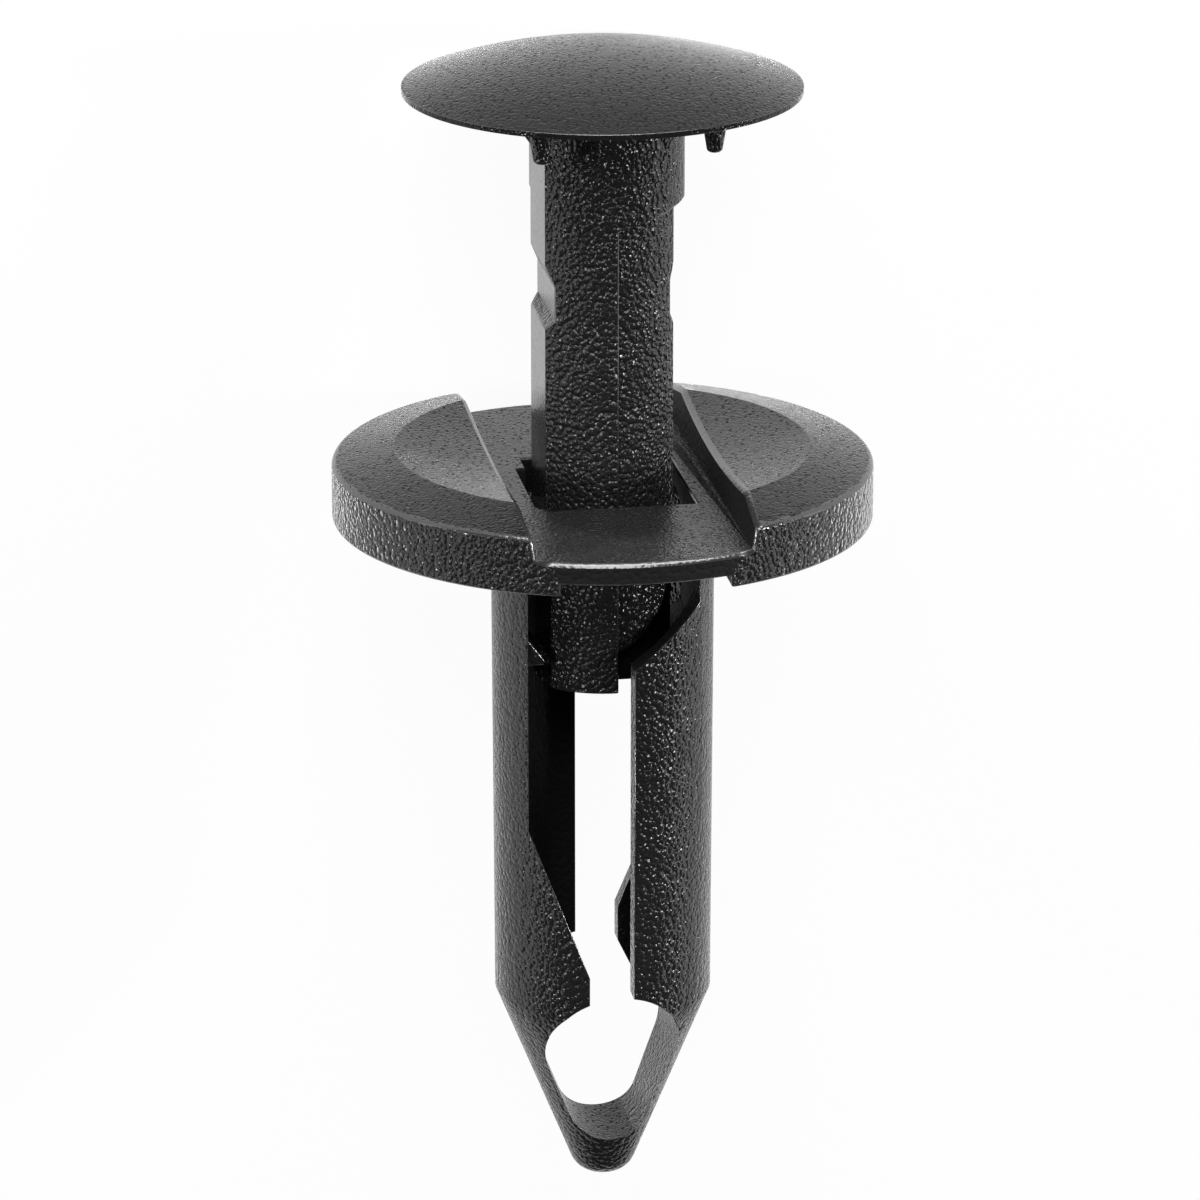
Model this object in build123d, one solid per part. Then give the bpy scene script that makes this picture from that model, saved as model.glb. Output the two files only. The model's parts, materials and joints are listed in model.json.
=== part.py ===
from build123d import *

import os
from math import atan2, cos, degrees, radians, sin, sqrt, tan

# A push rivet in two mouldings, in millimetres. It is drawn upright: Z is the rivet's axis with the
# head up, Z = 0 is the flange's seat, and the channel over the flange runs along Y. X = +/- is where
# the two legs stand. At the end both pieces are laid down the way the rivet rests on a table.

# ---- flange ----
FLANGE_RADIUS = 10.0
RIM_HEIGHT = 2.12  # outer wall of the flange, up to where its edge rounds over
RIM_ROUND = 0.25
CREST_RADIUS = 7.7  # ring where the raised segments are highest
CREST_HEIGHT = 2.62
DISH_DEPTH = 0.5  # shallow dish inside the crest, under the head
CHANNEL_FLOOR = 1.27
CHANNEL_HALF_WIDTH = 3.9  # at the floor
CHANNEL_DRAFT = 10.0  # degrees that the channel's walls lean out
CORNER_ROUND = 1.4  # in plan, on the front corner of the raised segment on the +X side
CORNER_FOOT_Z = 1.6  # the wall below it keeps its sharp corner
UNDERCUT_HALF_WIDTH = 3.1  # groove under the channel, which thins its floor
UNDERCUT_DEPTH = 0.45
HOLE_HALF_X = 2.95
HOLE_HALF_Y = 3.15
HOLE_FRONT_Y = 3.45  # it reaches further in front of the stem than behind it
HOLE_CORNER = 1.0
HOLE_STEP_X = 2.6  # the hole is narrower in its back corner on the -X side
HOLE_STEP_Y = 1.8
GATE_FLAT = 0.1  # depth of the flats at the back of both rims, where the moulding gates were trimmed
GATE_HOLLOW = 0.03  # how much the flats are hollowed between their ends

# ---- shank, legs and tip ----
SHANK_RADIUS = 4.15
SHOULDER_RADIUS = 4.08
SHOULDER_Z = -18.7
TAPER_ANGLE = 22.0  # half angle of the tip
TIP_Z = -26.4
TIP_ROUND = 1.3
CAVITY_HALF_X = 3.2
CAVITY_CORNER_RADIUS = 3.45
CAVITY_END_CLEARANCE = 0.6  # below the stem when it is pushed home
ARM_THICKNESS = 0.6  # of the two arms of the V
WINDOW_TOP_RADIUS = 2.55
WINDOW_BOTTOM_RADIUS = 1.6
BACK_LIP = [(0.9, -17.9), (2.05, -20.3), (3.4, -20.3), (3.4, -17.9)]  # X and Z of the wall kept there

# Slot in the front wall. The back wall has the same slot, turned by half a turn.
SLOT_RAMP_TOP_Z = -2.83
SLOT_RAMP_END_Z = -4.9
SLOT_NARROW_X = 0.53
SLOT_WAIST_TOP_Z = -11.5
SLOT_WAIST_END_Z = -17.0
SLOT_WAIST_X = -1.12

# Detent tooth on each leg's inner wall.
TOOTH_TOP_Z = -4.0
TOOTH_TIP_Z = -4.8
TOOTH_FOOT_Z = -5.0
TOOTH_REACH_X = 2.6
TOOTH_HALF_Y = 2.5

# ---- push pin, pulled out ----
HEAD_RADIUS = 7.3
HEAD_UNDERSIDE_Z = 16.05
HEAD_EDGE = 0.2
HEAD_RISE = 1.32
NUB_HEIGHT = 1.65
NUB_BASE_RADIUS = 0.55
NUB_TIP_RADIUS = 0.27
NUB_TIP_BEVEL = 0.08
FIN_LENGTH = 1.15  # of the small fin that braces each nub, along the head
FIN_HEIGHT = 1.25
FIN_THICKNESS = 0.5
NUB_RING_RADIUS = 4.75
NUB_ANGLES = (-41.5, -127.0)  # of one nub in each pair; the other stands opposite it
STEM_RADIUS = 3.04
STEM_FLAT_X = 2.42  # on the -X side
STEM_RIGHT_FLAT_X = 2.34
QUARTER_EDGE_X = 0.1  # where the lowered quarter in front begins
STEM_STEP = 0.18  # depth of the two lowered quarters of the stem
STEM_END_Z = -6.1
STEM_END_ROUND = 0.6
COLLAR_X = 2.84
COLLAR_END_Z = 12.2
COLLAR_DROP = 0.7
GROOVE_Z = 8.85
GROOVE_LENGTH = 2.3
GROOVE_DEPTH = 0.3
GROOVE_RIGHT_DEPTH = 0.14
GROOVE_UPPER_RAMP = 0.7
GROOVE_LOWER_RAMP = 0.35
NECK_X = 2.3  # narrowed stem where the teeth sit while the pin is out
NECK_TOP_Z = -3.2
NECK_RAMP = 0.8
BULGE_X = 2.75  # end that is too wide to pass the teeth
BULGE_TOP_Z = -5.1
BULGE_RAMP = 0.2
FORK_Y = 1.5  # how far the lowered quarters are cut back at the end
FORK_SIDE_X = 2.12  # what is left of them ends in an arc that begins here
FORK_TOP_Z = -1.7
FORK_ROUND = 3.04

TRAVEL = HEAD_UNDERSIDE_Z - NUB_HEIGHT - CHANNEL_FLOOR  # until the nubs meet the channel's floor
CAVITY_END_Z = STEM_END_Z - TRAVEL - CAVITY_END_CLEARANCE

FAR = 4 * FLANGE_RADIUS  # long enough to cut right through
SINK = 0.1  # how far an added shape reaches into the wall that carries it
NEAR = 0.01  # how close an edge must be to a place to be picked by it


def half_turn(shape):
    """The same shape turned by half a turn about the rivet's axis."""
    return shape.rotate(Axis.Z, 180)


def side_profile(points, near_y, far_y):
    """A prism along Y whose outline is given in X and Z."""
    outline = make_face(Polyline(*[(x, near_y, z) for x, z in points], close=True))
    return extrude(outline, amount=far_y - near_y, dir=(0, 1, 0))


def inner_arm_x(z):
    """Where the inner faces of the V's arms are at a height."""
    return (
        SHOULDER_RADIUS
        - (SHOULDER_Z - z) * tan(radians(TAPER_ANGLE))
        - ARM_THICKNESS / cos(radians(TAPER_ANGLE))
    )


def round_between_arms(radius):
    """The height at which a circle of a radius touches both arms of the V."""
    lean = radians(TAPER_ANGLE)
    return SHOULDER_Z - (inner_arm_x(SHOULDER_Z) - radius / cos(lean)) / tan(lean)


def cap_height(rim_radius, rise, radius):
    """How high a spherical cap stands over its rim, at a radius from its middle."""
    sphere = (rim_radius**2 + rise**2) / (2 * rise)
    return rise - sphere + sqrt(sphere**2 - radius**2)


def trimmed_gate(radius):
    """What is cut off the back of a rim of a radius, to leave its small, slightly hollow flat."""
    half_width = sqrt(radius**2 - (radius - GATE_FLAT) ** 2)
    cutter = (half_width**2 + GATE_HOLLOW**2) / (2 * GATE_HOLLOW)
    return Pos(0, radius - GATE_FLAT - GATE_HOLLOW + cutter, 0) * Cylinder(cutter, FAR)


def flange_blank():
    """The flange before it is cut: a disc with a raised, rounded rim and a shallow dish."""
    halfway = CREST_RADIUS / 2
    rim = Polyline(
        (0, 0, 0),
        (FLANGE_RADIUS, 0, 0),
        (FLANGE_RADIUS, 0, RIM_HEIGHT),
        (CREST_RADIUS, 0, CREST_HEIGHT),
    )
    dish = ThreePointArc(
        (CREST_RADIUS, 0, CREST_HEIGHT),
        (halfway, 0, CREST_HEIGHT - cap_height(CREST_RADIUS, DISH_DEPTH, halfway)),
        (0, 0, CREST_HEIGHT - DISH_DEPTH),
    )
    axis_side = Line((0, 0, CREST_HEIGHT - DISH_DEPTH), (0, 0, 0))
    disc = revolve(make_face(rim + dish + axis_side), axis=Axis.Z)
    rim_edge = [
        e
        for e in disc.edges().filter_by(GeomType.CIRCLE)
        if abs(e.radius - FLANGE_RADIUS) < NEAR and abs(e.center().Z - RIM_HEIGHT) < NEAR
    ]
    return fillet(rim_edge, RIM_ROUND)


def shank_blank():
    """The outside of the legs and tip, before they are hollowed."""
    lean = radians(TAPER_ANGLE)
    tip_x = SHOULDER_RADIUS - (SHOULDER_Z - TIP_Z) * tan(lean)
    profile = make_face(
        Polyline(
            (0, 0, CHANNEL_FLOOR / 2),
            (SHANK_RADIUS, 0, CHANNEL_FLOOR / 2),
            (SHANK_RADIUS, 0, 0),
            (SHOULDER_RADIUS, 0, SHOULDER_Z),
            (tip_x, 0, TIP_Z),
            (0, 0, TIP_Z),
            close=True,
        )
    )
    shank = revolve(profile, axis=Axis.Z)
    nose = shank.edges().filter_by(GeomType.CIRCLE).sort_by(Axis.Z)[0]
    return fillet(nose, min(TIP_ROUND, 0.95 * tip_x / cos(lean)))


def cavity():
    """The space between the legs, which the stem moves in."""
    lean_top_z = SHOULDER_Z - (inner_arm_x(SHOULDER_Z) - CAVITY_HALF_X) / tan(
        radians(TAPER_ANGLE)
    )
    end_x = inner_arm_x(CAVITY_END_Z)
    outline = [
        (-CAVITY_HALF_X, UNDERCUT_DEPTH),
        (-CAVITY_HALF_X, lean_top_z),
        (-end_x, CAVITY_END_Z),
        (end_x, CAVITY_END_Z),
        (CAVITY_HALF_X, lean_top_z),
        (CAVITY_HALF_X, UNDERCUT_DEPTH),
    ]
    prism = side_profile(outline, -HOLE_HALF_Y, HOLE_HALF_Y)
    return prism & Cylinder(CAVITY_CORNER_RADIUS, FAR * 2)


def front_slot():
    """The slot through the front wall: wide at the flange, ramped in on one side, waisted on the other."""
    window_top_z = round_between_arms(WINDOW_TOP_RADIUS)
    outline = [
        (-CAVITY_HALF_X, 0),
        (-CAVITY_HALF_X, SLOT_WAIST_TOP_Z),
        (SLOT_WAIST_X, SLOT_WAIST_END_Z),
        (SLOT_WAIST_X, window_top_z),
        (SLOT_NARROW_X, window_top_z),
        (SLOT_NARROW_X, SLOT_RAMP_END_Z),
        (CAVITY_HALF_X, SLOT_RAMP_TOP_Z),
        (CAVITY_HALF_X, 0),
    ]
    return side_profile(outline, -FLANGE_RADIUS, 0)


def tip_window():
    """The drop-shaped window through the tip, which leaves the two arms of the V."""
    top = Pos(0, 0, round_between_arms(WINDOW_TOP_RADIUS)) * Rot(90, 0, 0)
    bottom = Pos(0, 0, round_between_arms(WINDOW_BOTTOM_RADIUS)) * Rot(90, 0, 0)
    lean = radians(TAPER_ANGLE)
    top_z, bottom_z = (round_between_arms(r) for r in (WINDOW_TOP_RADIUS, WINDOW_BOTTOM_RADIUS))
    sides = side_profile(
        [
            (s * r * cos(lean), z - r * sin(lean))
            for s, r, z in (
                (-1, WINDOW_TOP_RADIUS, top_z),
                (-1, WINDOW_BOTTOM_RADIUS, bottom_z),
                (1, WINDOW_BOTTOM_RADIUS, bottom_z),
                (1, WINDOW_TOP_RADIUS, top_z),
            )
        ],
        -FLANGE_RADIUS,
        FLANGE_RADIUS,
    )
    through = 2 * FLANGE_RADIUS
    window = (
        sides
        + top * Cylinder(WINDOW_TOP_RADIUS, through)
        + bottom * Cylinder(WINDOW_BOTTOM_RADIUS, through)
    )
    return window - side_profile(BACK_LIP, HOLE_HALF_Y, FLANGE_RADIUS)


def tooth():
    """The detent tooth inside the +X leg: a ramp on top and a square step below."""
    outline = [
        (CAVITY_HALF_X + SINK, TOOTH_TOP_Z + SINK),
        (CAVITY_HALF_X, TOOTH_TOP_Z),
        (TOOTH_REACH_X, TOOTH_TIP_Z),
        (TOOTH_REACH_X, TOOTH_FOOT_Z),
        (CAVITY_HALF_X + SINK, TOOTH_FOOT_Z),
    ]
    return side_profile(outline, -TOOTH_HALF_Y, TOOTH_HALF_Y)


def rounded_corner():
    """What is missing from the front corner of the raised segment on the +X side."""
    beside_channel = Pos(CHANNEL_HALF_WIDTH + FAR / 2, 0) * Rectangle(FAR, FAR)
    plan = Circle(FLANGE_RADIUS) & beside_channel
    corner = plan.vertices().sort_by(Axis.Y)[0]
    sliver = plan - fillet(corner, CORNER_ROUND)
    return Pos(0, 0, CORNER_FOOT_Z) * extrude(sliver, amount=CREST_HEIGHT)


def flange_hole():
    """The rectangular hole in the channel's floor, with two of its corners rounded and one filled."""
    depth = 2 * CHANNEL_FLOOR
    plate = Pos(0, (HOLE_HALF_Y - HOLE_FRONT_Y) / 2, depth / 2 - SINK) * Box(
        2 * HOLE_HALF_X, HOLE_HALF_Y + HOLE_FRONT_Y, depth
    )
    corners = [
        e
        for e in plate.edges().filter_by(Axis.Z)
        if e.center().X * e.center().Y > 0
    ]
    filled = Pos(-HOLE_STEP_X - FAR / 2, HOLE_STEP_Y + FAR / 2, 0) * Box(FAR, FAR, FAR)
    return fillet(corners, HOLE_CORNER) - filled


def retainer_body():
    """The flange, the legs and the tip, which are one moulding."""
    wall_top = 2 * CREST_HEIGHT
    lean_out = (wall_top - CHANNEL_FLOOR) * tan(radians(CHANNEL_DRAFT))
    channel = side_profile(
        [
            (-CHANNEL_HALF_WIDTH, CHANNEL_FLOOR),
            (CHANNEL_HALF_WIDTH, CHANNEL_FLOOR),
            (CHANNEL_HALF_WIDTH + lean_out, wall_top),
            (-CHANNEL_HALF_WIDTH - lean_out, wall_top),
        ],
        -FAR,
        FAR,
    )
    undercut = Pos(0, 0, UNDERCUT_DEPTH / 2) * Box(
        2 * UNDERCUT_HALF_WIDTH, 2 * FAR, UNDERCUT_DEPTH
    )
    body = flange_blank() - channel - undercut - rounded_corner() - trimmed_gate(FLANGE_RADIUS)
    legs = shank_blank() - cavity() - tip_window() - front_slot() - half_turn(front_slot())
    legs += tooth() + half_turn(tooth())
    body += legs
    body -= flange_hole()
    return body


def flat_side(flat_x, groove_depth):
    """One side of the stem's outline, in X and Z, from its bulged end up to the head."""
    lower, upper = GROOVE_Z - GROOVE_LENGTH / 2, GROOVE_Z + GROOVE_LENGTH / 2
    floor = flat_x - groove_depth
    return [
        (BULGE_X, STEM_END_Z),
        (BULGE_X, BULGE_TOP_Z - BULGE_RAMP),
        (NECK_X, BULGE_TOP_Z),
        (NECK_X, NECK_TOP_Z),
        (flat_x, NECK_TOP_Z + NECK_RAMP),
        (flat_x, lower),
        (floor, lower + GROOVE_LOWER_RAMP),
        (floor, upper - GROOVE_UPPER_RAMP),
        (flat_x, upper),
        (flat_x, HEAD_UNDERSIDE_Z + HEAD_EDGE),
    ]


def stem_flats():
    """The stem's side outline, which its detent grooves, neck and bulged end give it."""
    right = flat_side(STEM_RIGHT_FLAT_X, GROOVE_RIGHT_DEPTH)
    left = [(-x, z) for x, z in reversed(flat_side(STEM_FLAT_X, GROOVE_DEPTH))]
    prism = side_profile(right + left, -STEM_RADIUS, STEM_RADIUS)
    end_corners = [
        e for e in prism.edges().filter_by(Axis.Y) if abs(e.center().Z - STEM_END_Z) < NEAR
    ]
    return fillet(end_corners, STEM_END_ROUND)


def stem():
    """The pin's stem, pulled out."""
    top = HEAD_UNDERSIDE_Z + HEAD_EDGE
    length = top - STEM_END_Z
    middle = Pos(0, 0, STEM_END_Z + length / 2)
    shaft = stem_flats() & (middle * Cylinder(STEM_RADIUS, length))

    # Two quarters of the stem are a little lower, from the collar's slanted edge down.
    quarter = middle * (
        Cylinder(2 * STEM_RADIUS, length) - Cylinder(STEM_RADIUS - STEM_STEP, length)
    )
    slant = side_profile(
        [
            (QUARTER_EDGE_X, STEM_END_Z),
            (2 * STEM_RADIUS, STEM_END_Z),
            (2 * STEM_RADIUS, COLLAR_END_Z + COLLAR_DROP),
            (COLLAR_X, COLLAR_END_Z),
            (QUARTER_EDGE_X, COLLAR_END_Z - COLLAR_DROP),
        ],
        -2 * STEM_RADIUS,
        0,
    )
    lowered = quarter & slant
    shaft = shaft - lowered - half_turn(lowered)

    # The collar under the head, on one side only.
    collar = side_profile(
        [
            (0, top),
            (0, COLLAR_END_Z - COLLAR_DROP),
            (COLLAR_X, COLLAR_END_Z),
            (COLLAR_X, top),
        ],
        -STEM_RADIUS,
        STEM_RADIUS,
    ) & (middle * Cylinder(STEM_RADIUS, length))
    shaft += collar

    # The lowered quarters are cut back further at the end, below a curved edge.
    reach = 2 * STEM_RADIUS
    fork = side_profile(
        [
            (QUARTER_EDGE_X, STEM_END_Z - SINK),
            (QUARTER_EDGE_X, FORK_TOP_Z),
            (FORK_SIDE_X, FORK_TOP_Z),
            (reach, FORK_TOP_Z + reach - FORK_SIDE_X),
            (reach, STEM_END_Z - SINK),
        ],
        -reach,
        -FORK_Y,
    )
    kept = Pos(FORK_SIDE_X - FORK_ROUND, 0, FORK_TOP_Z) * Rot(90, 0, 0)
    fork -= kept * Cylinder(FORK_ROUND, FAR)
    return shaft - fork - half_turn(fork)


def head():
    """The domed head: a thin round edge under a shallow spherical cap."""
    edge_top = HEAD_UNDERSIDE_Z + HEAD_EDGE
    halfway = HEAD_RADIUS / 2
    edge = Polyline(
        (0, 0, HEAD_UNDERSIDE_Z),
        (HEAD_RADIUS, 0, HEAD_UNDERSIDE_Z),
        (HEAD_RADIUS, 0, edge_top),
    )
    dome = ThreePointArc(
        (HEAD_RADIUS, 0, edge_top),
        (halfway, 0, edge_top + cap_height(HEAD_RADIUS, HEAD_RISE, halfway)),
        (0, 0, edge_top + HEAD_RISE),
    )
    axis_side = Line((0, 0, edge_top + HEAD_RISE), (0, 0, HEAD_UNDERSIDE_Z))
    return revolve(make_face(edge + dome + axis_side), axis=Axis.Z) - trimmed_gate(HEAD_RADIUS)


def nubs():
    """The ring of small cones under the head, which stand on the channel's floor when it is home.

    Each has a fin beside it, along the ring.
    """
    cone = Cone(NUB_TIP_RADIUS, NUB_BASE_RADIUS, NUB_HEIGHT)
    tip = cone.edges().filter_by(GeomType.CIRCLE).sort_by(Axis.Z)[0]
    cone = Pos(0, 0, HEAD_UNDERSIDE_Z - NUB_HEIGHT / 2) * chamfer(tip, NUB_TIP_BEVEL)
    fin_outline = [
        (0, HEAD_UNDERSIDE_Z),
        (0, HEAD_UNDERSIDE_Z - FIN_HEIGHT),
        (FIN_LENGTH, HEAD_UNDERSIDE_Z),
    ]
    fin = side_profile(fin_outline, -FIN_THICKNESS / 2, FIN_THICKNESS / 2)
    nub = cone + fin.rotate(Axis.Z, -90)
    return [
        Rot(0, 0, angle + turn) * Pos(NUB_RING_RADIUS, 0, 0) * nub
        for angle in NUB_ANGLES
        for turn in (0, 180)
    ]


def push_pin():
    """The head, its nubs and the stem, which are one moulding."""
    pin = head() + stem()
    for nub in nubs():
        pin += nub
    return pin


def resting_plane():
    """The tilted frame of the rivet when it lies on the flats of its flange's and its head's rims.

    The flats are hollow, so each meets the table at its ends, at their highest points: level with
    the channel's floor on the flange and with the foot of the dome on the head. Both flats are
    equally deep.
    """
    run = HEAD_UNDERSIDE_Z + HEAD_EDGE - CHANNEL_FLOOR
    tilt = atan2(FLANGE_RADIUS - HEAD_RADIUS, run)
    print("rests tilted by", round(degrees(tilt), 2), "degrees")
    return Plane(origin=(0, 0, 0), x_dir=(0, -1, 0), z_dir=(cos(tilt), 0, -sin(tilt)))


def main():
    rest = resting_plane().location
    pieces = {"retainer_body": rest * retainer_body(), "push_pin": rest * push_pin()}
    box = pieces["retainer_body"].bounding_box().add(pieces["push_pin"].bounding_box())
    seat = Pos(-box.center().X, -box.center().Y, -box.min.Z)
    os.makedirs("parts", exist_ok=True)
    for name, piece in pieces.items():
        export_step(seat * piece, f"parts/{name}.step")
    print("travel", TRAVEL, "seat", seat.position)


main()
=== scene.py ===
# %% [markdown]
# # A plastic push rivet in Blender
#
# The real thing is a two-piece panel fastener of black moulded plastic. The retainer is a round
# flange over a split shank with a V-shaped tip, and a domed pin slides down through it to lock its
# legs apart. Here it lies on a table with its pin pulled out, resting on the rims of its flange
# and its head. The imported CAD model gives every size; this file softens its edges and gives it
# the surface of real moulded plastic.

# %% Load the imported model
import json
from math import cos, radians, sin

import bmesh
import bpy
from mathutils import Matrix, Vector


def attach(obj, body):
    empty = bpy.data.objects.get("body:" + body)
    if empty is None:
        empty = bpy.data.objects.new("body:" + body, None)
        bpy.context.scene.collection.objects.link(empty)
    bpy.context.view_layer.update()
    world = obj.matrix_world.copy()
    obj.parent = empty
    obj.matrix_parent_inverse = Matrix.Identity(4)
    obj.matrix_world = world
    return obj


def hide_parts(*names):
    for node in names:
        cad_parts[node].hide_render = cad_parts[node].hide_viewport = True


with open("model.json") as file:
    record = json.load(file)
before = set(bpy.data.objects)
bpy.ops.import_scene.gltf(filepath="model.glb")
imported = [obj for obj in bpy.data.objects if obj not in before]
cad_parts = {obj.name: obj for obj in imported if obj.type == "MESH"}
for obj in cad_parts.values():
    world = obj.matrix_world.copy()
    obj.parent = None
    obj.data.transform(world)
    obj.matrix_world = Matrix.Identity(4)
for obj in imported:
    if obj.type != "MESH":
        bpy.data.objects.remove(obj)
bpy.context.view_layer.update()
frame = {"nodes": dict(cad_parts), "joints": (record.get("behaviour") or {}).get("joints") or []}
MM = 0.001  # in the scene's metres

# %% [markdown]
# ## The rivet's own frame
#
# Sizes on a fastener are easiest to think of with the shank standing upright: Z along the shank
# with the head up, Z = 0 at the flange's seat, Y along the channel and the legs at either side in
# X. The model lies down instead, so one matrix turns upright numbers, in millimetres, into places
# in the scene. It comes from the joint of the pin, whose axis is the shank's.

# %% From the upright rivet to the scene
SEAT = Vector((4.21412, 0.0, 9.96828))  # the middle of the flange's seat, in the scene
HEAD_CROWN = 17.6  # above the seat, with the pin pulled out
axis = Vector(frame["joints"][0]["axis"])
right_of_shank = Vector((0.0, -1.0, 0.0))
behind_shank = axis.cross(right_of_shank)
TURN = Matrix((right_of_shank, behind_shank, axis)).transposed()
UPRIGHT = Matrix.Translation(SEAT * MM) @ TURN.to_4x4() @ Matrix.Scale(MM, 4)
TO_UPRIGHT = UPRIGHT.inverted()


def place(x, y, z):
    """A point of the upright rivet, in millimetres, as it lies in the scene."""
    return UPRIGHT @ Vector((x, y, z))


print("head's crown lies at", [round(v / MM, 2) for v in place(0, 0, HEAD_CROWN)], "mm")

# %% [markdown]
# ## Table, light and camera
#
# A small black part shows its shape by what its edges and flanks reflect, more than by its own
# colour. So it lies on a white table among soft lamps. A broad one beyond its head is the
# strongest, and a square key lamp above that lights its tops. Two small keys stand high at its
# sides, and a long low strip runs along each side and draws the edges of the shank.

# %% The white table
TABLE_WIDTH = 3.0  # m
TABLE_PAINT = (0.9, 0.9, 0.9, 1)
WHITE = (1, 1, 1, 1)
SEEN_GLOW = 0.94  # how much of what the camera sees of the table is glow, not paint

bpy.ops.object.select_all(action="DESELECT")
bpy.ops.mesh.primitive_plane_add(size=TABLE_WIDTH, location=(0, 0, 0))
table = bpy.context.object
table.name = "table"

table_white = bpy.data.materials.new("table_white")
table_white.use_nodes = True
nodes, links = table_white.node_tree.nodes, table_white.node_tree.links
paint = nodes["Principled BSDF"]
paint.inputs["Base Color"].default_value = TABLE_PAINT
paint.inputs["Roughness"].default_value = 0.9
paint.inputs["Specular IOR Level"].default_value = 0.1
seen = nodes.new("ShaderNodeLightPath")
share = nodes.new("ShaderNodeMath")
share.operation = "MULTIPLY_ADD"
share.inputs[1].default_value = SEEN_GLOW
glow = nodes.new("ShaderNodeEmission")
glow.inputs["Color"].default_value = WHITE
glow.inputs["Strength"].default_value = 1.0
blend = nodes.new("ShaderNodeMixShader")
links.new(seen.outputs["Is Camera Ray"], share.inputs[0])
links.new(seen.outputs["Is Glossy Ray"], share.inputs[2])
links.new(share.outputs[0], blend.inputs[0])
links.new(paint.outputs[0], blend.inputs[1])
links.new(glow.outputs[0], blend.inputs[2])
links.new(blend.outputs[0], nodes["Material Output"].inputs["Surface"])
table.data.materials.append(table_white)

# %% The lamps and the world
MIDDLE = (0, 0, 8)  # of the rivet as it lies, in mm
SKY_STRENGTH = 0.08


def soft_lamp(name, where, size, watts):
    """A rectangular area lamp at a place in millimetres, turned to the middle of the rivet."""
    lamp = bpy.data.lights.new(name, "AREA")
    lamp.shape = "RECTANGLE"
    lamp.size, lamp.size_y = size[0] * MM, size[1] * MM
    lamp.energy = watts
    holder = bpy.data.objects.new(name, lamp)
    bpy.context.scene.collection.objects.link(holder)
    holder.location = Vector(where) * MM
    holder.rotation_euler = (Vector(MIDDLE) - Vector(where)).to_track_quat("-Z", "Y").to_euler()


soft_lamp("key", (235, 30, 190), (150, 150), 0.55)
soft_lamp("left_key", (43, 215, 125), (30, 40), 0.22)
soft_lamp("right_key", (43, -215, 125), (30, 40), 0.36)
soft_lamp("left_strip", (-20, 220, 15), (300, 30), 0.08)
soft_lamp("right_strip", (-20, -220, 15), (300, 30), 0.08)
soft_lamp("head_lamp", (265, 0, 70), (300, 80), 0.8)

world = bpy.data.worlds.new("studio")
bpy.context.scene.world = world
world.use_nodes = True
sky = world.node_tree.nodes["Background"]
sky.inputs["Color"].default_value = WHITE
sky.inputs["Strength"].default_value = SKY_STRENGTH

# %% The camera
EYE_DISTANCE = 235.0
EYE_TURN = radians(-9.5)
EYE_RISE = radians(17.9)
AIM_Z = -3.45
FIELD = radians(10.8)
SHIFT = -2.5 / 1200  # of the picture's width

aim = place(0, 0, AIM_Z)
eye = place(
    EYE_DISTANCE * sin(EYE_TURN) * cos(EYE_RISE),
    -EYE_DISTANCE * cos(EYE_TURN) * cos(EYE_RISE),
    EYE_DISTANCE * sin(EYE_RISE),
)
back = (eye - aim).normalized()
side = axis.cross(back).normalized()
over = back.cross(side)

lens = bpy.data.cameras.new("camera")
lens.sensor_fit = "HORIZONTAL"
lens.angle = FIELD
lens.clip_start = 0.01
lens.shift_x = SHIFT
camera = bpy.data.objects.new("camera", lens)
bpy.context.scene.collection.objects.link(camera)
camera.matrix_world = Matrix.Translation(eye) @ Matrix((side, over, back)).transposed().to_4x4()
bpy.context.scene.camera = camera
bpy.context.scene.view_settings.view_transform = "Standard"
print("camera at", [round(v / MM, 1) for v in eye], "mm")

# %% [markdown]
# ## The grain of the mould
#
# A steel mould is roughened by sparks, and the plastic copies it: round pebbles a fifth of a
# millimetre across, with a few deeper pits. Modelling them would take millions of faces, so a node
# group makes their height instead, and a Bump node turns the height into slopes. A Voronoi
# texture gives one dome to each pebble, a finer noise makes the domes uneven, and a second
# Voronoi texture sinks the pits. The group works in millimetres, so its sizes mean the same in
# every material.

# %% A node group for the grain


def group_of(name, inputs, outputs):
    """An empty node group with named sockets, and its two end nodes."""
    group = bpy.data.node_groups.new(name, "ShaderNodeTree")
    for label, kind, value in inputs:
        socket = group.interface.new_socket(label, in_out="INPUT", socket_type=kind)
        if value is not None:
            socket.default_value = value
    for label, kind in outputs:
        group.interface.new_socket(label, in_out="OUTPUT", socket_type=kind)
    return group, group.nodes.new("NodeGroupInput"), group.nodes.new("NodeGroupOutput")


def maths(tree, operation, a, b, clamp=False):
    """A Math node between sockets or numbers; gives its output."""
    node = tree.nodes.new("ShaderNodeMath")
    node.operation = operation
    node.use_clamp = clamp
    for index, value in enumerate((a, b)):
        if isinstance(value, (int, float)):
            node.inputs[index].default_value = value
        else:
            tree.links.new(value, node.inputs[index])
    return node.outputs[0]


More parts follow.
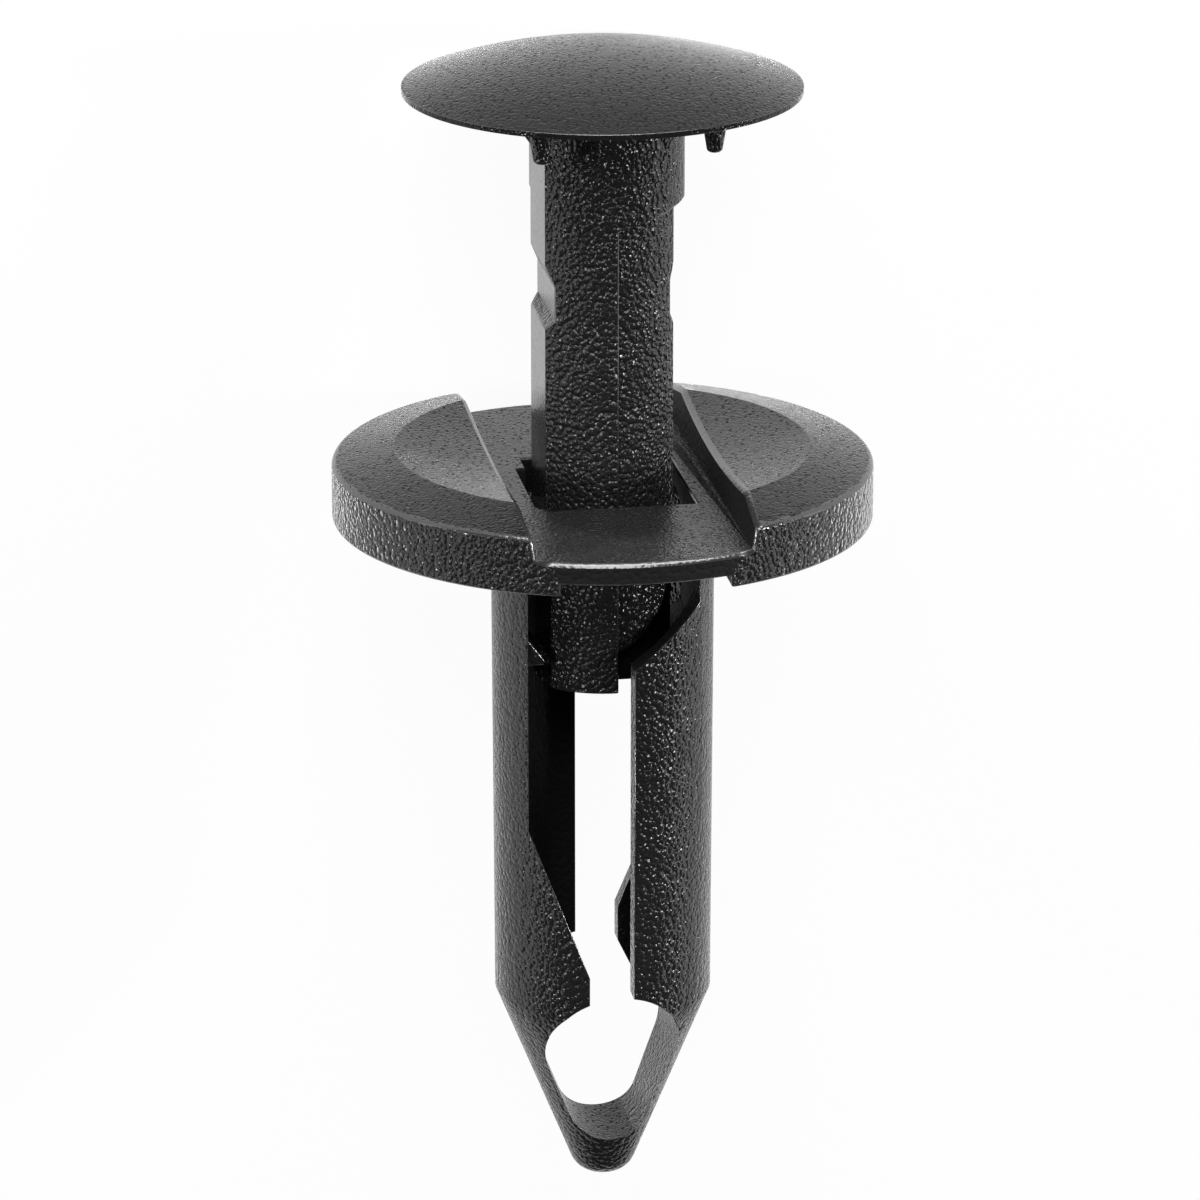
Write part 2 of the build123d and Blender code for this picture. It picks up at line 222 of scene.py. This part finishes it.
FLOAT, VECTOR = "NodeSocketFloat", "NodeSocketVector"
SWELLS_PER_PEBBLE = 1.6
DOME_SHARE, SWELL_SHARE, PIT_SHARE = 0.6, 0.25, 0.35  # of the grain's height
grain, grain_in, grain_out = group_of(
    "mould_grain",
    [
        ("Place", VECTOR, None),
        ("Pebbles per mm", FLOAT, 5.0),
        ("Pits per mm", FLOAT, 4.0),
        ("Pit size", FLOAT, 0.25),  # of a cell's width
    ],
    [("Height", FLOAT), ("Pits", FLOAT)],
)
swell = grain.nodes.new("ShaderNodeTexNoise")
swell.inputs["Detail"].default_value = 1.0
pebbles = grain.nodes.new("ShaderNodeTexVoronoi")
pits = grain.nodes.new("ShaderNodeTexVoronoi")
finer = maths(grain, "MULTIPLY", grain_in.outputs["Pebbles per mm"], SWELLS_PER_PEBBLE)
for texture, scale in (
    (swell, finer),
    (pebbles, grain_in.outputs["Pebbles per mm"]),
    (pits, grain_in.outputs["Pits per mm"]),
):
    grain.links.new(grain_in.outputs["Place"], texture.inputs["Vector"])
    grain.links.new(scale, texture.inputs["Scale"])
away = pebbles.outputs["Distance"]
dome = maths(grain, "SUBTRACT", 1.0, maths(grain, "MULTIPLY", away, away))
pit_size = grain_in.outputs["Pit size"]
deep = maths(grain, "SUBTRACT", pit_size, pits.outputs["Distance"])
deep = maths(grain, "DIVIDE", deep, pit_size, clamp=True)
domes = maths(grain, "MULTIPLY", dome, DOME_SHARE)
swells = maths(grain, "MULTIPLY", swell.outputs[0], SWELL_SHARE)
height = maths(grain, "ADD", domes, swells)
height = maths(grain, "SUBTRACT", height, maths(grain, "MULTIPLY", deep, PIT_SHARE))
grain.links.new(height, grain_out.inputs["Height"])
grain.links.new(deep, grain_out.inputs["Pits"])

# %% [markdown]
# ## The finishes of the black plastic
#
# One black plastic looks different on each face: partly because the mould was finished
# differently there, and partly because light and shade are painted into some finishes. The tops
# are fine and satin, the pin's barrel and the flange's rim are coarse and sparkle where a pebble
# faces a lamp, the legs are a little smoother, the pin's flat sides are nearly polished, and the
# edges are glossier, with a lighter colour that is a painted highlight. The faces inside the
# bore, the hole, the slots, the channel's walls and the pin's fork have a darker colour and little
# gloss: painted shade. The bottoms of the pits are darker too, as painted shade. A thin sheen
# stands for the fine dust that brightens black plastic where it is seen edge on. One function
# makes them all from the same nodes, each with its own height of grain, roughness and gloss.

# %% Black plastic
SHEEN_ROUGHNESS = 0.2
PATCHES_PER_MM = 0.5  # slow changes of roughness, millimetres wide
# Painted shade: a pit's bottom is coloured darker, to this share of the plastic's own colour.
PIT_PAINTED_SHADE = 0.3  # of the plastic's own colour, at the bottom of a pit


def plastic(
    name,
    color,
    roughness,
    pebble,
    pebbles_per_mm=5.4,
    pits_per_mm=3.5,
    patches=0.05,
    gloss=0.5,
    sheen=0.0,
    pit_roughness=0.25,
    pit_size=0.25,
):
    """A material of black moulded plastic, with a grain whose pebbles have a given height in mm."""
    material = bpy.data.materials.new(name)
    material.use_nodes = True
    tree = material.node_tree
    shader = tree.nodes["Principled BSDF"]
    shader.inputs["Specular IOR Level"].default_value = gloss
    shader.inputs["Sheen Weight"].default_value = sheen
    shader.inputs["Sheen Roughness"].default_value = SHEEN_ROUGHNESS
    where = tree.nodes.new("ShaderNodeTexCoord")
    turned = tree.nodes.new("ShaderNodeMapping")
    turned.inputs["Scale"].default_value = (1 / MM,) * 3
    turned.inputs["Location"].default_value = SEAT * -1.0
    tree.links.new(where.outputs["Object"], turned.inputs["Vector"])
    own = tree.nodes.new("ShaderNodeGroup")
    own.node_tree = grain
    own.inputs["Pebbles per mm"].default_value = pebbles_per_mm
    own.inputs["Pits per mm"].default_value = pits_per_mm
    own.inputs["Pit size"].default_value = pit_size
    tree.links.new(turned.outputs["Vector"], own.inputs["Place"])
    bump = tree.nodes.new("ShaderNodeBump")
    bump.inputs["Distance"].default_value = pebble * MM
    bump.inputs["Strength"].default_value = 1.0
    tree.links.new(own.outputs["Height"], bump.inputs["Height"])
    tree.links.new(bump.outputs["Normal"], shader.inputs["Normal"])
    cloud = tree.nodes.new("ShaderNodeTexNoise")
    cloud.inputs["Scale"].default_value = PATCHES_PER_MM
    cloud.inputs["Detail"].default_value = 2.0
    tree.links.new(turned.outputs["Vector"], cloud.inputs["Vector"])
    even = maths(tree, "SUBTRACT", cloud.outputs[0], 0.5)
    rough = maths(tree, "ADD", maths(tree, "MULTIPLY", even, patches), roughness)
    in_pits = maths(tree, "MULTIPLY", own.outputs["Pits"], pit_roughness)
    rough = maths(tree, "ADD", rough, in_pits, clamp=True)
    tree.links.new(rough, shader.inputs["Roughness"])
    # The bottoms of the pits get a darker colour: painted shade.
    pit_painted_shade = tree.nodes.new("ShaderNodeMix")
    pit_painted_shade.data_type = "RGBA"
    pit_painted_shade.inputs["A"].default_value = (*color, 1)
    pit_painted_shade.inputs["B"].default_value = (*(c * PIT_PAINTED_SHADE for c in color), 1)
    tree.links.new(own.outputs["Pits"], pit_painted_shade.inputs["Factor"])
    tree.links.new(pit_painted_shade.outputs["Result"], shader.inputs["Base Color"])
    return material


BLACK = (0.010, 0.010, 0.0104)
TOP_COLOR = (0.007, 0.007, 0.0073)
# Darker than the black: painted shade for the bore, hole, slots, channel walls and fork.
INNER_PAINTED_SHADE_COLOR = (0.006, 0.006, 0.006)
# Lighter than the black: a painted highlight on the rounded edges.
EDGE_HIGHLIGHT_COLOR = (0.02, 0.02, 0.02)
top_black = plastic(
    "satin_black",
    TOP_COLOR,
    roughness=0.14,
    pebble=0.03,
    pebbles_per_mm=8.0,
    pits_per_mm=4.3,
    patches=0.1,
    gloss=0.15,
    sheen=0.6,
    pit_roughness=1.5,
    pit_size=0.32,
)
wall_black = plastic("sparked_black", BLACK, roughness=0.21, pebble=0.14, gloss=0.35, sheen=0.25)
leg_black = plastic("leg_black", BLACK, roughness=0.2, pebble=0.09, gloss=0.3, sheen=0.35)
flat_black = plastic(
    "flat_black",
    BLACK,
    roughness=0.2,
    pebble=0.01,
    pebbles_per_mm=8.0,
    pits_per_mm=5.5,
)
rim_black = plastic("rim_black", BLACK, roughness=0.21, pebble=0.14, gloss=0.3, sheen=1.0)
# The inner finish: its darker colour and low gloss are painted shade; its roughness is a rough
# surface.
inner_painted_shade = plastic(
    "inner_painted_shade",
    INNER_PAINTED_SHADE_COLOR,
    roughness=0.7,
    pebble=0.05,
    pebbles_per_mm=5.0,
    pits_per_mm=4.0,
    patches=0.0,
    gloss=0.15,
)
# The edge finish: its gloss is real, its lighter colour is a painted highlight.
edge_painted_highlight = plastic(
    "edge_painted_highlight",
    EDGE_HIGHLIGHT_COLOR,
    roughness=0.2,
    pebble=0.015,
    pebbles_per_mm=6.0,
    pits_per_mm=5.0,
    patches=0.0,
    gloss=1.0,
)

# %% [markdown]
# ## Soft edges
#
# No moulded edge is perfectly sharp, and the thin bright line along it is much of what makes a
# black part readable. The CAD pieces have sharp edges, so each is copied, its loose triangles are
# merged into whole faces, and a Bevel modifier rounds the edges that stick out. The triangles of
# the seat stay loose: when they were merged as well, the finished piece had thin sheets across
# its bore, which made it 70 mm2 larger. The printed areas show sheets of that size, but not a
# small sheet or a fold.
#
# The finished piece still has folds. One triangle of the channel's floor, of 3.7 mm2, and 26
# small ones of the seat, of 1.0 mm2 together, face the wrong way. The one on the floor shows as
# a thin dark line along the foot of the wall on the right. It came when the merge was changed to
# get rid of the sheets, and leaving the floor's triangles loose as well made it larger, 8.0 mm2.
#
# Each edge has its own weight: the flange's edges are rounded most, those of the legs and the
# stem less, and the edges inside the bore stay as they are. A corner that lies too close to a
# wide edge is welded to it first, or the bevel would run over it. A Weighted Normal modifier then
# keeps the flat faces flat in the light. The crease round the flange's top is marked sharp, so
# that it stays crisp.

# %% The softened copies of the CAD pieces
MERGED = 0.01 * MM  # corners this near each other are one corner
FLAT_ENOUGH = radians(0.5)  # faces that meet at less than this are one face
SEAT_BAND = 0.01  # a face whose corners are all this near Z = 0 is on the seat
SOFT_EDGE = 0.17 * MM
CREASE = radians(35)
SHARP = radians(40)
CROWDED = 0.065 * MM  # a corner this near a wide edge would be run over by it
WIDE = 0.9  # an edge of more than this weight is a wide one
CREST_RADIUS, CREST_HEIGHT = 7.7, 2.62
CREST_BAND = 0.06


def on_crest(point):
    """Whether an upright point lies on the crease round the flange's top."""
    return (
        abs(point.xy.length - CREST_RADIUS) < CREST_BAND
        and abs(point.z - CREST_HEIGHT) < CREST_BAND
    )


def on_seat(face):
    """Whether a face lies in the plane of the flange's seat."""
    return all(abs((TO_UPRIGHT @ vert.co).z) < SEAT_BAND for vert in face.verts)


def area_of(piece):
    """The area of all a piece's triangles, in square millimetres."""
    piece.data.calc_loop_triangles()
    return round(sum(triangle.area for triangle in piece.data.loop_triangles) / MM**2, 2)


def merged_copy(node, name):
    """A copy of a CAD node whose flat faces are whole, apart from those of the seat."""
    bpy.ops.object.select_all(action="DESELECT")
    cad = frame["nodes"][node]
    cad.select_set(True)
    bpy.context.view_layer.objects.active = cad
    bpy.ops.object.duplicate()
    piece = bpy.context.object
    for key in list(piece.keys()):
        del piece[key]
    piece.parent = None
    piece.name = piece.data.name = name
    print(name, "copied:", area_of(piece), "mm2")
    bpy.ops.object.mode_set(mode="EDIT")
    bpy.ops.mesh.select_all(action="SELECT")
    bpy.ops.mesh.remove_doubles(threshold=MERGED)
    bpy.ops.mesh.dissolve_degenerate(threshold=MERGED)
    bpy.ops.mesh.customdata_custom_splitnormals_clear()
    bpy.ops.object.mode_set(mode="OBJECT")
    shape = bmesh.new()
    shape.from_mesh(piece.data)
    seat = {face for face in shape.faces if on_seat(face)}
    bmesh.ops.dissolve_limit(
        shape,
        angle_limit=FLAT_ENOUGH,
        verts=[vert for vert in shape.verts if seat.isdisjoint(vert.link_faces)],
        edges=[edge for edge in shape.edges if seat.isdisjoint(edge.link_faces)],
    )
    shape.to_mesh(piece.data)
    shape.free()
    print(name, "merged:", len(piece.data.polygons), "faces")
    return piece


def give_finishes(piece, finish_of):
    """Each face its finish, by its middle, its normal and how far out it reaches."""
    piece.data.materials.clear()
    for material in FINISHES:
        piece.data.materials.append(material)
    turn = TO_UPRIGHT.to_3x3()
    corners = piece.data.vertices
    for face in piece.data.polygons:
        centre = TO_UPRIGHT @ face.center
        normal = (turn @ face.normal).normalized()
        reach = max((TO_UPRIGHT @ corners[v].co).xy.length for v in face.vertices)
        face.material_index = finish_of(centre, normal, reach)


def weigh_edges(piece, softness_of):
    """Each sharp outer edge its weight for the bevel, and crowding corners welded away."""
    shape = bmesh.new()
    shape.from_mesh(piece.data)
    weights = shape.edges.layers.float.new("bevel_weight_edge")
    for edge in shape.edges:
        ends = [TO_UPRIGHT @ vert.co for vert in edge.verts]
        edge.smooth = not all(on_crest(end) for end in ends)
        if len(edge.link_faces) == 2 and edge.calc_face_angle_signed() > SHARP:
            edge[weights] = softness_of((ends[0] + ends[1]) / 2)
    wide = {vert for edge in shape.edges if edge[weights] > WIDE for vert in edge.verts}
    crowding = {}
    for vert in shape.verts:
        for edge in vert.link_edges:
            other = edge.other_vert(vert)
            if vert not in wide and other in wide and edge.calc_length() < CROWDED:
                crowding[vert] = other
    bmesh.ops.weld_verts(shape, targetmap=crowding)
    shape.to_mesh(piece.data)
    shape.free()


def softened_copy(node, name, body, finish_of, softness_of):
    """A copy of a CAD node with its finishes, whose sharp edges are rounded as a moulding's are."""
    piece = merged_copy(node, name)
    give_finishes(piece, finish_of)
    weigh_edges(piece, softness_of)
    bpy.ops.object.shade_smooth_by_angle(angle=CREASE, keep_sharp_edges=True)
    bevel = piece.modifiers.new("soft edges", "BEVEL")
    bevel.width = SOFT_EDGE
    bevel.segments = 2
    bevel.limit_method = "WEIGHT"
    bevel.use_clamp_overlap = False
    # The rounded faces get the edge finish, whose lighter colour is a painted highlight.
    bevel.material = EDGE_PAINTED_HIGHLIGHT
    bpy.ops.object.modifier_apply(modifier=bevel.name)
    level = piece.modifiers.new("flat stays flat", "WEIGHTED_NORMAL")
    level.keep_sharp = True
    bpy.ops.object.modifier_apply(modifier=level.name)
    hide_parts(node)
    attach(piece, body)
    print(name, "softened:", len(piece.data.polygons), "faces,", area_of(piece), "mm2")
    return piece


# %% [markdown]
# ## Which face has which finish
#
# The finishes follow the shape: the functions below know a face only by where its middle is, which
# way it looks and how far from the shank's middle it reaches. All the numbers are millimetres of
# the upright rivet, or parts of a normal.

# %% The retainer and the pin
TOP, WALL, RIM, LEG, FLAT, INNER_PAINTED_SHADE, EDGE_PAINTED_HIGHLIGHT = range(7)
FINISHES = (top_black, wall_black, rim_black, leg_black, flat_black, inner_painted_shade, edge_painted_highlight)

BORE_RADIUS = 3.6
BORE_LOW, BORE_HIGH = -19.0, 1.2
HOLE_LOW, HOLE_HIGH, HOLE_SIDE = 0.4, 1.26, 3.1
SLOT_LOW = -8.0
SEAT_LOW = -0.05  # the height of the seat, with a little to spare
CHANNEL_FLOOR, FLOOR_BAND = 1.27, 0.02
FLOOR_RADIUS = 9.7  # outside it, a face at the floor's height is the rim's
CHANNEL_SIDE = 5.0  # the channel's walls are nearer the middle than this
RIM_RADIUS, RIM_TOP = 9.5, 1.8
FLANGE_EDGES = 0.9  # edges above this height are the flange's and the channel's
BORE_EDGES = 3.7  # edges inside this radius are the bore's
HEAD_LOW, HEAD_EDGE = 13.5, 16.0
FLATS_HIGH = 14.0  # the stem's flat sides are below this
STEM_EDGES = 2.2  # edges outside this radius are where the round of the stem meets its flats
FORK_SIDE = 1.6  # the faces in the fork at the stem's lower end are nearer the middle than this

# Parts of a face's normal: the first five are for the retainer, the last two for the pin.
UPRIGHT_FACE = 0.3
OUTWARD = 0.5
LEVEL = 0.8
CHANNEL_WALL = 0.8
EDGE_SLOPES = (0.25, 0.93)
SQUARE_TO_Y = 0.9
SQUARE_TO_X = 0.95


def retainer_softness(middle):
    """How far an edge of the retainer is rounded, as a share of the widest."""
    if middle.xy.length < BORE_EDGES:
        return 0.3 if middle.z > FLANGE_EDGES else 0.0
    if middle.z > FLANGE_EDGES:
        return 1.0
    return 0.5 if middle.z > SEAT_LOW else 0.25


def pin_softness(middle):
    """How far an edge of the pin is rounded, as a share of the widest."""
    if middle.z > HEAD_LOW:
        return 0.08 if middle.z > HEAD_EDGE else 0.2
    return 0.35 if middle.xy.length > STEM_EDGES else 0.2


def retainer_finish(centre, normal, reach):
    """Which finish a face of the retainer has."""
    upright_face = abs(normal.z) < UPRIGHT_FACE
    looks_outward = normal.xy.dot(centre.xy.normalized()) >= OUTWARD
    edge_slope = EDGE_SLOPES[0] < normal.z < EDGE_SLOPES[1]
    in_bore = reach < BORE_RADIUS and BORE_LOW < centre.z < BORE_HIGH
    in_hole = upright_face and abs(centre.x) < HOLE_SIDE and HOLE_LOW < centre.z < HOLE_HIGH
    in_slot = not looks_outward and SLOT_LOW < centre.z < SEAT_LOW
    # Faces in the bore, the hole and the slots get the inner finish: painted shade.
    if in_bore or in_hole or in_slot:
        return INNER_PAINTED_SHADE
    # The rounded top edge of the rim gets the edge finish, a painted highlight.
    if centre.z > RIM_TOP and reach > RIM_RADIUS and edge_slope:
        return EDGE_PAINTED_HIGHLIGHT
    # The channel's walls get the inner finish as well: painted shade.
    if centre.z > BORE_HIGH and abs(normal.x) > CHANNEL_WALL and abs(centre.x) < CHANNEL_SIDE:
        return INNER_PAINTED_SHADE
    on_floor = abs(centre.z - CHANNEL_FLOOR) < FLOOR_BAND and centre.xy.length < FLOOR_RADIUS
    if normal.z > LEVEL or on_floor:
        return TOP
    return RIM if reach > RIM_RADIUS else LEG


def pin_finish(centre, normal, reach):
    """Which finish a face of the pin has; how far it reaches doesn't matter here."""
    # The faces in the fork at the stem's lower end get the inner finish: painted shade.
    if abs(centre.y) < FORK_SIDE and abs(normal.y) > SQUARE_TO_Y and centre.z < 0:
        return INNER_PAINTED_SHADE
    if centre.z < FLATS_HIGH and abs(normal.x) > SQUARE_TO_X:
        return FLAT
    return TOP if centre.z > HEAD_EDGE else WALL


retainer = softened_copy("retainer_body", "retainer", "body", retainer_finish, retainer_softness)
pin = softened_copy("push_pin", "domed_pin", "pin", pin_finish, pin_softness)

# %% [markdown]
# ## The closed tops of the slots
#
# The two slots between the legs stop a little below the flange, where the wall of the shank runs
# on between the legs, and a short gusset fills one corner of the slot at the back. Each is a
# small arc of that wall: a flat plate, one wall's thickness wide, is stood beside the shank's
# middle and spun about its axis. Spinning leaves doubled corners, which are merged, and its
# normals are then made to look outwards.

# %% The bridges over the slots
BRIDGE_INSIDE, BRIDGE_OUTSIDE = 3.46, 4.12
BRIDGE_LOW, BRIDGE_HIGH = -1.3, 0.02
BRIDGE_TURN, BRIDGE_STEPS = radians(104), 20
GUSSET_LOW = -4.4
GUSSET_TURN, GUSSET_STEPS = radians(10), 4
SPUN_DOUBLES = 0.001 * MM


def slot_bridge(name, low, start, turn, steps):
    """An arc of the shank's wall up to the flange, from a low end and a start round the shank."""
    bpy.ops.object.select_all(action="DESELECT")
    flat = Vector(((BRIDGE_INSIDE + BRIDGE_OUTSIDE) / 2, 0, (low + BRIDGE_HIGH) / 2))
    bpy.ops.mesh.primitive_plane_add(size=MM)
    piece = bpy.context.object
    piece.name = piece.data.name = name
    piece.scale = (BRIDGE_OUTSIDE - BRIDGE_INSIDE, BRIDGE_HIGH - low, 1)
    bpy.ops.object.transform_apply(scale=True)
    piece.matrix_world = (
        Matrix.Translation(SEAT * MM)
        @ TURN.to_4x4()
        @ Matrix.Rotation(start, 4, "Z")
        @ Matrix.Translation(flat * MM)
        @ Matrix.Rotation(radians(90), 4, "X")
    )
    bpy.ops.object.transform_apply(location=True, rotation=True)
    bpy.ops.object.mode_set(mode="EDIT")
    bpy.ops.mesh.select_all(action="SELECT")
    bpy.ops.mesh.spin(steps=steps, angle=turn, center=SEAT * MM, axis=axis)
    bpy.ops.mesh.select_all(action="SELECT")
    bpy.ops.mesh.remove_doubles(threshold=SPUN_DOUBLES)
    bpy.ops.mesh.normals_make_consistent(inside=False)
    bpy.ops.object.mode_set(mode="OBJECT")
    bpy.ops.object.shade_smooth_by_angle(angle=CREASE)
    piece.data.materials.append(wall_black)
    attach(piece, "body")
    corners = [TO_UPRIGHT @ v.co for v in piece.data.vertices]
    for k, label in enumerate("xyz"):
        along = [corner[k] for corner in corners]
        print(name, label, round(min(along), 2), round(max(along), 2))
    print(name, "faces", len(piece.data.polygons))


slot_bridge("back_slot_bridge", BRIDGE_LOW, radians(38), BRIDGE_TURN, BRIDGE_STEPS)
slot_bridge("front_slot_bridge", BRIDGE_LOW, radians(218), BRIDGE_TURN, BRIDGE_STEPS)
slot_bridge("back_gusset", GUSSET_LOW, radians(33), GUSSET_TURN, GUSSET_STEPS)
